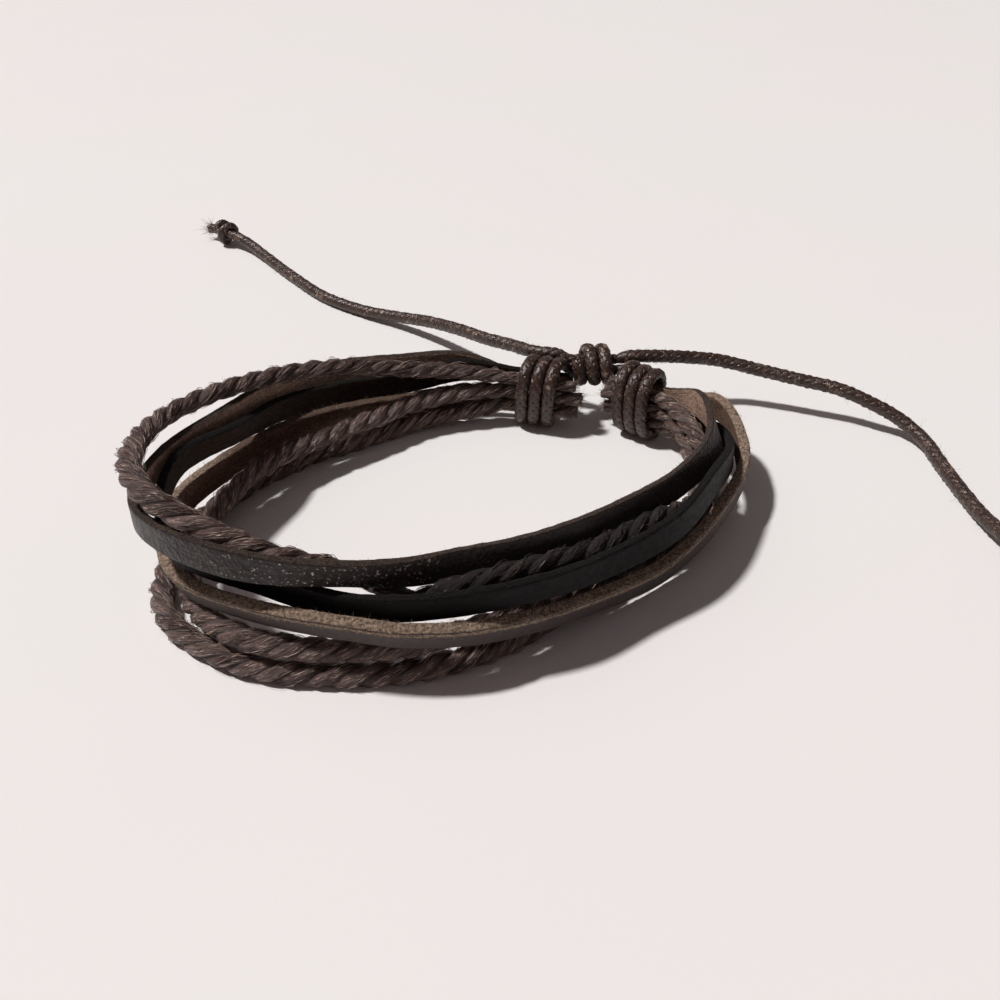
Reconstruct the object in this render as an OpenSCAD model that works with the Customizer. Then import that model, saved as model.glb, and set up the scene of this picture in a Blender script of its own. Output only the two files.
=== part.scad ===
// Layered leather bracelet lying on its side: three flat leather straps and
// three twisted cords run round the wrist as one loose bundle. Their ends are
// bound by two wraps of waxed cord. The cord of each wrap runs through one
// sliding knot and leaves it as a loose tail with an end knot.
// Millimetres. Z is up and is the axis of the wrist opening.
// Directions are degrees round the middle, anticlockwise from +X.

/* [Straps] */
// Width of the top strap
top_w = 3.2; // [2.8:0.1:3.2]
// Thickness of the top strap
top_t = 1; // [1:0.05:1.1]
// Width of the middle strap
middle_w = 3.2; // [2.8:0.1:3.2]
// Thickness of the middle strap
middle_t = 1; // [1:0.05:1.1]
// Width of the bottom strap
bottom_w = 3.2; // [2.8:0.1:3.2]
// Thickness of the bottom strap
bottom_t = 1.3; // [1:0.05:1.3]
// Bevel worn along each edge of a strap
strap_bevel = 0.25; // [0.1:0.05:0.3]

/* [Twisted cords] */
// Diameter of the top twisted cord
top_cord_d = 2; // [1.8:0.1:2]
// Diameter of the two lower twisted cords
cord_d = 2.3; // [1.8:0.1:2.3]

/* [Wraps] */
// Radial thickness of one turn of a wrap, pulled tight
turn_t = 1.2; // [1:0.05:1.25]
// Width of one turn along its wrap
turn_w = 1.65; // [1.4:0.05:1.7]
// Half the depth of the bundle inside a wrap
bundle_depth = 2.5; // [2.5:0.05:2.6]
// Half the height of the bundle inside a wrap
bundle_height = 3.6; // [3.5:0.05:3.6]
// Roundness of a wrap: 2 is an ellipse, more is squarer
bundle_round = 2.4; // [2.2:0.1:3]
// Turns of the left wrap
left_turns = 2.6; // [2.6:1:2.6]
// Turns of the right wrap
right_turns = 2.7; // [2.7:1:2.7]

/* [Sliding knot and tails] */
// Diameter of the waxed tie cord
tie_d = 1.9; // [1.6:0.1:1.9]
// Diameter of the tie cord squeezed inside the sliding knot
squeezed_d = 1.4; // [1.2:0.1:1.4]
// Turns of the sliding knot
knot_turns = 2.5; // [2.5:1:2.5]
// Length of an end knot
end_knot_l = 5.6; // [5:0.1:6]
// Diameter of an end knot
end_knot_d = 4.4; // [3.8:0.1:4.6]

/* [Hidden] */
STRAP_W = [top_w, middle_w, bottom_w];
STRAP_T = [top_t, middle_t, bottom_t];
CORD_D = [top_cord_d, cord_d, cord_d];

// The bundle in section, a row every 20 degrees or so round the wrist.
// A strap is given by the middle of its upper edge: distance from the middle
// of the bracelet, height, and lean in degrees (positive leans the upper edge
// outwards). A cord is given by its centre: distance and height.
SECTIONS = [
    // direction, top strap, middle strap, bottom strap, top cord, middle cord, bottom cord
    [ 90, [26.5,  8.5,  -5], [24.5,  8.5,  -5], [24.5,  4.5,   0], [22.5,  7.7], [22.0,  5.0], [22.0,  2.0]],
    [110, [27.5,  8.5,  -5], [25.0,  7.2,   0], [23.5,  4.5,   0], [22.5,  9.0], [21.0,  4.5], [21.0,  1.5]],
    [130, [27.5, 10.0,   0], [25.5,  7.8,   0], [23.5,  5.5,   0], [23.5, 11.0], [20.0,  4.5], [21.0,  1.2]],
    [150, [27.5, 11.4,  -8], [26.5,  9.1,  -5], [25.0,  6.5,   5], [26.0, 12.6], [21.5,  4.5], [23.5,  1.2]],
    [170, [28.0, 12.8,  -8], [26.2, 11.1, -22], [28.5,  6.5,   5], [30.0, 14.1], [25.0,  4.5], [27.5,  1.2]],
    [190, [32.5, 13.7, -10], [31.1, 12.9,  -8], [33.0,  6.8,  10], [34.0, 15.8], [29.5,  3.0], [32.5,  1.2]],
    [210, [35.7, 15.2,   0], [33.6, 11.6,   0], [34.0,  6.8,  20], [35.0, 17.2], [32.5,  2.0], [35.5,  1.2]],
    [230, [31.9, 15.2,  -6], [28.6, 10.5,   0], [31.5,  8.5,  22], [30.0, 14.2], [32.0,  4.0], [33.0,  1.2]],
    [250, [25.4, 13.0,  12], [27.1, 10.3,   5], [29.0,  8.8,  20], [23.2,  9.0], [27.5,  3.5], [28.5,  1.2]],
    [260, [22.6, 12.2,   0], [26.5, 10.6,   8], [28.0,  8.2,  20], [23.2,  7.3], [25.5,  3.5], [26.8,  1.2]],
    [270, [20.7, 12.0, -12], [25.5, 10.5,  10], [27.0,  7.7,  20], [23.2,  9.3], [23.5,  3.5], [25.0,  1.2]],
    [290, [20.0, 12.2, -12], [24.5, 10.5,   8], [24.7,  6.1,  20], [22.4, 10.2], [21.5,  3.7], [22.0,  1.2]],
    [310, [20.0, 11.9, -12], [24.0,  9.8,   0], [24.0,  4.8,  18], [22.3,  9.4], [20.5,  3.8], [20.2,  1.2]],
    [330, [21.5, 11.5, -10], [26.0, 10.3,  -8], [26.0,  4.3,  12], [24.0,  9.1], [21.5,  3.8], [21.5,  1.2]],
    [350, [25.0, 10.8, -20], [28.4, 10.4,  -8], [29.9,  6.0,   5], [27.4,  6.6], [26.8,  4.2], [27.0,  1.2]],
    [370, [30.0, 10.2, -28], [32.7,  8.2,  -4], [34.7,  7.0,   0], [29.6,  6.2], [28.9,  3.6], [30.9,  1.9]],
    [385, [32.5, 10.0,   8], [33.9,  5.6,   0], [35.4,  8.5,  -5], [30.0,  7.2], [30.5,  4.9], [32.1,  2.7]]];

// The strands inside the wraps, a row for each strand in the order above:
// offset outwards and upwards from the middle of the left wrap, length from
// there to the cut end, and the same three for the right wrap.
BOUND = [
    // left out, left up, left end, right out, right up, right end
    [ 1.6,  0.4, 4.0,  0.4,  1.7, 3.9],
    [ 0.4,  1.7, 4.4,  0.4, -1.7, 4.9],
    [ 0.4, -1.7, 5.2,  1.6,  0.0, 3.9],
    [-1.0,  1.9, 5.0, -1.0,  1.9, 4.0],
    [-1.0,  0.0, 5.9, -1.0,  0.0, 5.0],
    [-1.0, -1.9, 5.3, -1.0, -1.9, 4.6]];

// Middle of each wrap, and its heading in degrees
LEFT_MID = [10, 22.5, 4.9];
LEFT_HEADING = -15;
RIGHT_MID = [23.3, 20, 4.9];
RIGHT_HEADING = -38;
// Half the length over which a wrap squeezes its bundle
BOUND_HALF = 3.1;
// Squeeze of straps and of cords inside a wrap
STRAP_SQUEEZE = 0.72;
CORD_SQUEEZE = 0.78;

// Middle of the sliding knot, and how far the two cords in it lie from it
KNOT_MID = [17.5, 26, 7];
CORD_APART = 0.85;
// Tilt of the line through the two cords, degrees above level
KNOT_TILT = 34;

// Route of the left tail from the sliding knot to its end knot
LEFT_TAIL = [
    // x, y, z
    [12.5, 27.3, 7.8], [9.5, 28.3, 7.7], [6.5, 31.5, 7], [3, 35, 6.2], [-2, 41.5, 4.7],
    [-6.5, 46.5, 3.4], [-11.5, 51, 2], [-17.5, 55, 1.2], [-24, 60, 1.0],
    [-31.5, 69, 1.0], [-38.5, 78.5, 1.2], [-42, 82.5, 1.8], [-44.5, 84.5, 2.3]];
// Route of the right tail from the sliding knot to its end knot
RIGHT_TAIL = [
    // x, y, z
    [21.9, 26.8, 7.7], [25, 26.9, 7.8], [29.5, 27.6, 7.3], [35, 28.3, 6.4], [40.5, 27, 5.6],
    [46, 25, 5.1], [51, 23, 4.7], [54.5, 21, 3.9], [58, 19, 2.6], [60.3, 16, 1.5],
    [61, 10.5, 1.1], [61.5, 4.5, 1.0], [62, -1, 1.2], [62.5, -5, 1.8], [63, -7.5, 2.3]];
// Lead from the left wrap into the sliding knot, and from the right wrap
LEFT_LEAD = [[13.4, 25, 7.3]];
RIGHT_LEAD = [[22.2, 24.8, 6.9]];

// Shift that puts the middle of the bracelet over the origin and its lowest
// cord on the ground
REST = [0, 0, cord_d / 2 - 1.2];

SIDES = 8;

function unit(v) = v / norm(v);
function pos(r) = [r[0], r[1], r[2]];
function mix(a, b, t) = a + (b - a) * t;

// Smooth curve through rows: every column follows a cubic whose slope at a row
// is the distance-weighted mean of the slopes on both sides
function span(R, i) = norm(pos(R[i + 1]) - pos(R[i]));
function slope(R, i) =
    i == 0 ? (R[1] - R[0]) / span(R, 0)
    : i == len(R) - 1 ? (R[i] - R[i - 1]) / span(R, i - 1)
    : let (p = span(R, i - 1), q = span(R, i))
        ((R[i] - R[i - 1]) / p * q + (R[i + 1] - R[i]) / q * p) / (p + q);
function between(R, i, t) =
    let (h = span(R, i), a = t * t * (3 - 2 * t))
        R[i] * (1 - a) + R[i + 1] * a
        + slope(R, i) * h * t * (1 - t) * (1 - t)
        - slope(R, i + 1) * h * t * t * (1 - t);
// Rows of the curve: few steps inside a wrap, more outside
function curve(R, steps, ends = 0, end_steps = 2) =
    [for (i = [0 : len(R) - 2])
        let (n = i < ends || i >= len(R) - 1 - ends ? end_steps : steps)
            for (k = [0 : n - 1]) between(R, i, k / n),
     R[len(R) - 1]];

// Directions of travel along a list of rows
function heading(P, i) =
    unit(i == 0 ? pos(P[1]) - pos(P[0])
        : i == len(P) - 1 ? pos(P[i]) - pos(P[i - 1])
        : unit(pos(P[i + 1]) - pos(P[i])) + unit(pos(P[i]) - pos(P[i - 1])));

// Solid through rings of n points each
module through(rings, n) {
    m = len(rings);
    polyhedron(
        points = [for (r = rings) for (p = r) p],
        faces = [
            for (i = [0 : m - 2]) for (j = [0 : n - 1])
                let (a = i * n + j, b = i * n + (j + 1) % n) [a, a + n, b],
            for (i = [0 : m - 2]) for (j = [0 : n - 1])
                let (b = i * n + (j + 1) % n, a = i * n + j) [b, a + n, b + n],
            [for (j = [0 : n - 1]) j],
            [for (j = [0 : n - 1]) (m - 1) * n + n - 1 - j]],
        convexity = 12);
}

// Tube along rows [x, y, z, half width, half thickness]. The half width lies
// along the given direction, and after kept rows it is carried on without twist.
function square_to(v, t) = unit(v - (v * t) * t);
module tube(P, along, kept = 1000, n = SIDES) {
    T = [for (i = [0 : len(P) - 1]) heading(P, i)];
    U = [for (i = 0, u = square_to(along, T[0]); i < len(P);
              i = i + 1,
              u = i < len(P) ? square_to(i < kept ? along : u, T[i]) : u) u];
    through([for (i = [0 : len(P) - 1])
        let (w = cross(T[i], U[i]))
            [for (j = [0 : n - 1])
                let (a = 360 * (j + 0.5) / n)
                    pos(P[i]) + (U[i] * P[i][3] * cos(a) + w * P[i][4] * sin(a)) / cos(180 / n)]], n);
}

// A place in a wrap: s along it, p outwards, q upwards
function in_wrap(mid, head, s, p, q) =
    mid + [s * cos(head) - p * sin(head), s * sin(head) + p * cos(head), q];

// Rows of strand k: cut end, left wrap, once round the wrist, right wrap, cut end
function strand(k) =
    let (b = BOUND[k], strap = k < 3, sq = strap ? STRAP_SQUEEZE : CORD_SQUEEZE,
         lift = strap ? STRAP_W[k] * sq / 2 : 0)
    concat(
        [for (s = [b[2], 1, -BOUND_HALF])
            concat(in_wrap(LEFT_MID, LEFT_HEADING, s, b[0], b[1] + lift), [0, sq])],
        [for (row = SECTIONS)
            let (c = row[k + 1])
                [c[0] * cos(row[0]), c[0] * sin(row[0]), c[1], strap ? c[2] : 0, 1]],
        [for (s = [BOUND_HALF, -1, -b[5]])
            concat(in_wrap(RIGHT_MID, RIGHT_HEADING, s, b[3], b[4] + lift), [0, sq])]);

// Flat strap: a bevelled rectangle hung from its upper edge
module strap(k) {
    P = curve(strand(k), 4, 2);
    translate(REST) through([for (i = [0 : len(P) - 1])
        let (t = heading(P, i), out = unit(cross(t, [0, 0, 1])), up = cross(out, t),
             lean = P[i][3], sq = P[i][4],
             d = cos(lean) * up + sin(lean) * out, o = cos(lean) * out - sin(lean) * up,
             h = STRAP_T[k] * sq / 2, b = strap_bevel * sq, w = STRAP_W[k] * sq)
            [for (c = [[h - b, 0], [h, b], [h, w - b], [h - b, w],
                       [b - h, w], [-h, w - b], [-h, b], [b - h, 0]])
                pos(P[i]) + o * c[0] - d * c[1]]], 8);
}

// Twisted cord: a round tube
module twisted_cord(k) {
    P = curve(strand(k), 3, 2);
    r = CORD_D[k - 3] / 2 * cos(180 / SIDES);
    translate(REST)
        tube([for (p = P) [p[0], p[1], p[2], r * p[4], r * p[4]]], [0, 0, 1]);
}

// One place on a wrap's turns, at angle a round it: 0 is outwards, 90 upwards
function squarish(v) = sign(v) * pow(abs(v), 2 / bundle_round);
function turn(mid, head, s, a) =
    concat(in_wrap(mid, head, s,
        (bundle_depth + turn_t / 2) * squarish(cos(a)),
        (bundle_height + turn_t / 2) * squarish(sin(a))),
        [turn_w / 2 * 0.96, turn_t / 2 * 0.96]);

// Turns of a wrap from angle a0, rising by pitch for each turn
function turns(mid, head, a0, count, dir, s0, pitch) =
    let (n = ceil(count * 14))
        [for (i = [0 : n]) turn(mid, head, s0 + pitch * count * i / n, a0 + dir * 360 * count * i / n)];

// Where the two cords lie in the sliding knot: side 1 is the far, upper one
function in_knot(s, side) =
    KNOT_MID + [s, side * CORD_APART * cos(KNOT_TILT), side * CORD_APART * sin(KNOT_TILT)];
function sized(p, d) = concat(p, [d / 2 * cos(180 / SIDES), d / 2 * cos(180 / SIDES)]);

module left_wrap() {
    color([0.22, 0.17, 0.15]) translate(REST)
        tube(concat(
            turns(LEFT_MID, LEFT_HEADING, 60 + 360 * left_turns, left_turns, -1, -2.3, 1.8),
            curve(concat(
                [for (p = LEFT_LEAD) sized(p, squeezed_d)],
                [for (s = [-3.2, -2, -0.1]) sized(in_knot(s, -1), squeezed_d)]), 2)),
            [cos(LEFT_HEADING), sin(LEFT_HEADING), 0], 14 * left_turns);
}

module right_wrap() {
    color([0.2, 0.15, 0.14]) translate(REST)
        tube(concat(
            turns(RIGHT_MID, RIGHT_HEADING, 20 + 360 * right_turns, right_turns, -1, 2.45, -1.8),
            curve(concat(
                [for (p = RIGHT_LEAD) sized(p, squeezed_d)],
                [for (s = [3.3, 2, 0.1]) sized(in_knot(s, -1), squeezed_d)]), 2)),
            [cos(RIGHT_HEADING), sin(RIGHT_HEADING), 0], 14 * right_turns);
}

// Sliding knot: short coil round the two cords
module sliding_knot() {
    n = ceil(knot_turns * 14);
    color([0.23, 0.18, 0.16]) translate(REST)
        tube([for (i = [0 : n])
            let (a = 100 + 360 * knot_turns * i / n,
                 p = 2.4 * cos(a), q = 1.6 * sin(a),
                 c = cos(KNOT_TILT), s = sin(KNOT_TILT))
                concat(KNOT_MID + [1.9 * knot_turns * (i / n - 0.5), p * c - q * s, p * s + q * c],
                       [0.84, 0.58])],
            [1, 0, 0]);
}

// Loose tail: starts in the sliding knot, swells to its full size outside it
module tail(route, dir) {
    color([0.21, 0.16, 0.14]) translate(REST)
        tube(curve(concat(
            [for (s = [0.1, 2, 3.3]) sized(in_knot(dir * s, 1), squeezed_d)],
            [for (p = route) sized(p, tie_d)]), 2), [0, 0, 1]);
}

// End knot: two rounded lobes in line with the end of its tail
module end_knot(route) {
    tip = route[len(route) - 1];
    t = unit(tip - route[len(route) - 2]);
    r = end_knot_d / 2;
    lobe = end_knot_l * 0.28;
    color([0.2, 0.15, 0.13]) translate(REST)
        translate(tip + [t[0], t[1], 0] * 0.3)
            rotate([0, 90, atan2(t[1], t[0])])
                rotate_extrude($fn = 48)
                    intersection() {
                        union() {
                            translate([r - lobe, lobe]) circle(lobe, $fn = 32);
                            translate([r - lobe, end_knot_l - lobe]) circle(lobe, $fn = 32);
                            square([r - lobe, end_knot_l]);
                        }
                        square([r, end_knot_l]);
                    }
}

module strap_top() { color([0.18, 0.15, 0.15]) strap(0); }
module strap_middle() { color([0.09, 0.08, 0.08]) strap(1); }
module strap_bottom() { color([0.27, 0.24, 0.22]) strap(2); }
module twisted_cord_top() { color([0.34, 0.29, 0.27]) twisted_cord(3); }
module twisted_cord_middle() { color([0.32, 0.27, 0.25]) twisted_cord(4); }
module twisted_cord_bottom() { color([0.3, 0.26, 0.24]) twisted_cord(5); }
module tail_left() { tail(LEFT_TAIL, -1); }
module tail_right() { tail(RIGHT_TAIL, 1); }
module end_knot_left() { end_knot(LEFT_TAIL); }
module end_knot_right() { end_knot(RIGHT_TAIL); }

strap_top();
strap_middle();
strap_bottom();
twisted_cord_top();
twisted_cord_middle();
twisted_cord_bottom();
left_wrap();
right_wrap();
sliding_knot();
tail_left();
tail_right();
end_knot_left();
end_knot_right();
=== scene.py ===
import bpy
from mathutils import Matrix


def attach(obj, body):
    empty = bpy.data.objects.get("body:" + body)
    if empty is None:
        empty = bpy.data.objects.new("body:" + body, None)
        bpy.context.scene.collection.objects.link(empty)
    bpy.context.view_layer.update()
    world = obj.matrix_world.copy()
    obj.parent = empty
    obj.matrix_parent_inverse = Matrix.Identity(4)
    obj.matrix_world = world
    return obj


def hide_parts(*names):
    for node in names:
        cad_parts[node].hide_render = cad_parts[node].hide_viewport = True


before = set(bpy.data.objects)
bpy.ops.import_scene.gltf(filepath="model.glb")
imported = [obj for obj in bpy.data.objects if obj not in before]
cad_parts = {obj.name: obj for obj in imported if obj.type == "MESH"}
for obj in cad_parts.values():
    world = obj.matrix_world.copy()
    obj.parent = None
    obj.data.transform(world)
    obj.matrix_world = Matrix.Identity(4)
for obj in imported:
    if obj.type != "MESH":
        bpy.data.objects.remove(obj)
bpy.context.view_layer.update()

import math

import bpy
import numpy as np

MM = 0.001
TAU = 2 * math.pi

# ------------------------------------------------------------------ camera
# The photo's view: 36 degrees above the table, looking along +Y.
scene = bpy.context.scene
LOOK_AT = np.array([4.6, 4.0, -0.05])
ELEVATION = math.radians(36)
DISTANCE = 125.0
cam_data = bpy.data.cameras.new("camera")
cam_data.sensor_width = 36
cam_data.sensor_fit = "HORIZONTAL"
cam_data.lens = 36 * 1012 / 1000
cam_data.clip_start = 0.005
cam = bpy.data.objects.new("camera", cam_data)
scene.collection.objects.link(cam)
eye = LOOK_AT + DISTANCE * np.array([0, -math.cos(ELEVATION), math.sin(ELEVATION)])
cam.location = [float(x) * MM for x in eye]
cam.rotation_euler = (math.pi / 2 - ELEVATION, 0, 0)
scene.camera = cam

# ------------------------------------------------------------------ sizes, mm
STRAP_W, STRAP_T, STRAP_BEVEL = (3.2, 3.2, 3.2), (1.0, 1.0, 1.3), 0.25
CORD_D, TIE_D, SQUEEZED_D = (2.0, 2.3, 2.3), 1.9, 1.4
TURN_T, TURN_W, BUNDLE_DEPTH, BUNDLE_HEIGHT, BUNDLE_ROUND = 1.2, 1.65, 2.5, 3.6, 2.4
LEFT_TURNS, RIGHT_TURNS, KNOT_TURNS = 2.6, 2.7, 2.5
END_KNOT_L, END_KNOT_D = 5.6, 4.4
REST = np.array([0, 0, CORD_D[2] / 2 - 1.2])

# direction; top, middle, bottom strap: distance and height of the middle of
# the upper edge, lean; top, middle, bottom cord: distance and height
SECTIONS = [
    (90, (26.5, 8.5, -5), (24.5, 8.5, -5), (24.5, 4.5, 0), (22.5, 7.7), (22, 5), (22, 2)),
    (110, (27.5, 8.5, -5), (25, 7.2, 0), (23.5, 4.5, 0), (22.5, 9), (21, 4.5), (21, 1.5)),
    (130, (27.5, 10, 0), (25.5, 7.8, 0), (23.5, 5.5, 0), (23.5, 11), (20, 4.5), (21, 1.2)),
    (150, (27.5, 11.4, -8), (26.5, 9.1, -5), (25, 6.5, 5), (26, 12.6), (21.5, 4.5), (23.5, 1.2)),
    (170, (28, 12.8, -8), (26.2, 11.1, -22), (28.5, 6.5, 5), (30, 14.1), (25, 4.5), (27.5, 1.2)),
    (190, (32.5, 13.7, -10), (31.1, 12.9, -8), (33, 6.8, 10), (34, 15.8), (29.5, 3), (32.5, 1.2)),
    (210, (35.7, 15.2, 0), (33.6, 11.6, 0), (34, 6.8, 20), (35, 17.2), (32.5, 2), (35.5, 1.2)),
    (230, (31.9, 15.2, -6), (28.6, 10.5, 0), (31.5, 8.5, 22), (30, 14.2), (32, 4), (33, 1.2)),
    (250, (25.4, 13, 12), (27.1, 10.3, 5), (29, 8.8, 20), (23.2, 9), (27.5, 3.5), (28.5, 1.2)),
    (260, (22.6, 12.2, 0), (26.5, 10.6, 8), (28, 8.2, 20), (23.2, 7.3), (25.5, 3.5), (26.8, 1.2)),
    (270, (20.7, 12, -12), (25.5, 10.5, 10), (27, 7.7, 20), (23.2, 9.3), (23.5, 3.5), (25, 1.2)),
    (290, (20, 12.2, -12), (24.5, 10.5, 8), (24.7, 6.1, 20), (22.4, 10.2), (21.5, 3.7), (22, 1.2)),
    (310, (20, 11.9, -12), (24, 9.8, 0), (24, 4.8, 18), (22.3, 9.4), (20.5, 3.8), (20.2, 1.2)),
    (330, (21.5, 11.5, -10), (26, 10.3, -8), (26, 4.3, 12), (24, 9.1), (21.5, 3.8), (21.5, 1.2)),
    (350, (25, 10.8, -20), (28.4, 10.4, -8), (29.9, 6, 5), (27.4, 6.6), (26.8, 4.2), (27, 1.2)),
    (370, (30, 10.2, -28), (32.7, 8.2, -4), (34.7, 7, 0), (29.6, 6.2), (28.9, 3.6), (30.9, 1.9)),
    (385, (32.5, 10, 8), (33.9, 5.6, 0), (35.4, 8.5, -5), (30, 7.2), (30.5, 4.9), (32.1, 2.7)),
]
# in the wraps: out, up, end on the left; out, up, end on the right
BOUND = [
    (1.6, 0.4, 4.0, 0.4, 1.7, 3.9), (0.4, 1.7, 4.4, 0.4, -1.7, 4.9), (0.4, -1.7, 5.2, 1.6, 0.0, 3.9),
    (-1.0, 1.9, 5.0, -1.0, 1.9, 4.0), (-1.0, 0.0, 5.9, -1.0, 0.0, 5.0), (-1.0, -1.9, 5.3, -1.0, -1.9, 4.6),
]
LEFT_MID, LEFT_HEADING = np.array([10, 22.5, 4.9]), -15
RIGHT_MID, RIGHT_HEADING = np.array([23.3, 20, 4.9]), -38
BOUND_HALF, STRAP_SQUEEZE, CORD_SQUEEZE = 3.1, 0.72, 0.78
KNOT_MID, CORD_APART, KNOT_TILT = np.array([17.5, 26, 7]), 0.85, 34
LEFT_TAIL = [
    (12.5, 27.3, 7.8), (9.5, 28.3, 7.7), (6.5, 31.5, 7), (3, 35, 6.2), (-2, 41.5, 4.7),
    (-6.5, 46.5, 3.4), (-11.5, 51, 2), (-17.5, 55, 1.2), (-24, 60, 1.0),
    (-31.5, 69, 1.0), (-38.5, 78.5, 1.2), (-42, 82.5, 1.8), (-44.5, 84.5, 2.3),
]
RIGHT_TAIL = [
    (21.9, 26.8, 7.7), (25, 26.9, 7.8), (29.5, 27.6, 7.3), (35, 28.3, 6.4), (40.5, 27, 5.6),
    (46, 25, 5.1), (51, 23, 4.7), (54.5, 21, 3.9), (58, 19, 2.6), (60.3, 16, 1.5),
    (61, 10.5, 1.1), (61.5, 4.5, 1.0), (62, -1, 1.2), (62.5, -5, 1.8), (63, -7.5, 2.3),
]
LEFT_LEAD, RIGHT_LEAD = [(13.4, 25, 7.3)], [(22.2, 24.8, 6.9)]


# ------------------------------------------------------------------ small maths
def unit(v):
    return v / np.maximum(np.linalg.norm(v, axis=-1, keepdims=True), 1e-12)


def cosd(a):
    return math.cos(math.radians(a))


def sind(a):
    return math.sin(math.radians(a))


def smooth(t):
    t = np.clip(t, 0, 1)
    return t * t * (3 - 2 * t)


def fine(rows, step):
    """Rows of the smooth curve through the given rows, every step millimetres."""
    R = np.array(rows, float)
    span = np.linalg.norm(np.diff(R[:, :3], axis=0), axis=1)
    d = np.diff(R, axis=0) / span[:, None]
    S = np.empty_like(R)
    S[0], S[-1] = d[0], d[-1]
    S[1:-1] = (d[:-1] * span[1:, None] + d[1:] * span[:-1, None]) / (span[:-1] + span[1:])[:, None]
    out = []
    for i, h in enumerate(span):
        t = np.linspace(0, 1, 24, endpoint=False)[:, None]
        a = t * t * (3 - 2 * t)
        out.append(R[i] * (1 - a) + R[i + 1] * a + S[i] * h * t * (1 - t) ** 2 - S[i + 1] * h * t * t * (1 - t))
    Q = np.vstack(out + [R[-1:]])
    return even(Q, step)


def even(Q, step):
    """The same rows at even spacing."""
    s = np.concatenate([[0], np.cumsum(np.linalg.norm(np.diff(Q[:, :3], axis=0), axis=1))])
    n = max(3, int(round(s[-1] / step)) + 1)
    at = np.linspace(0, s[-1], n)
    return np.stack([np.interp(at, s, Q[:, c]) for c in range(Q.shape[1])], 1)


def lengths(P):
    return np.concatenate([[0], np.cumsum(np.linalg.norm(np.diff(P[:, :3], axis=0), axis=1))])


def tangents(P):
    return unit(np.gradient(P[:, :3], axis=0))


def carried(P, start):
    """Two directions across the line at each point, carried along without twist."""
    T = tangents(P)
    U = np.empty_like(T)
    u = start
    for i in range(len(T)):
        u = u - T[i] * np.dot(u, T[i])
        u = u / np.linalg.norm(u)
        U[i] = u
    return T, U, np.cross(T, U)


def toward(P, along):
    """Two directions across the line, the first as near as can be to the given one."""
    T = tangents(P)
    a = np.broadcast_to(np.array(along, float), T.shape)
    U = unit(a - T * np.sum(a * T, axis=1, keepdims=True))
    return T, U, np.cross(T, U)


def lattice(i, seed):
    """Repeatable numbers from -1 to 1 for whole-number places."""
    h = np.zeros(i.shape[:-1], np.uint32) + np.uint32((seed * 747796405 + 2891336453) & 0xFFFFFFFF)
    for c in range(i.shape[-1]):
        h = (h ^ i[..., c].astype(np.int64).astype(np.uint32)) * np.uint32(2246822519)
        h ^= h >> np.uint32(13)
        h = h * np.uint32(3266489917)
        h ^= h >> np.uint32(16)
    return h.astype(np.float64) / 2147483648.0 - 1


def noise(p, seed=1):
    """Smooth value noise, -1 to 1, at points of one to three numbers."""
    p = np.asarray(p, float)
    i = np.floor(p).astype(np.int64)
    f = p - i
    f = f * f * (3 - 2 * f)
    k = p.shape[-1]
    total = np.zeros(p.shape[:-1])
    for corner in range(2 ** k):
        bits = np.array([(corner >> c) & 1 for c in range(k)])
        w = np.prod(np.where(bits == 1, f, 1 - f), axis=-1)
        total += w * lattice(i + bits, seed)
    return total


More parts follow.
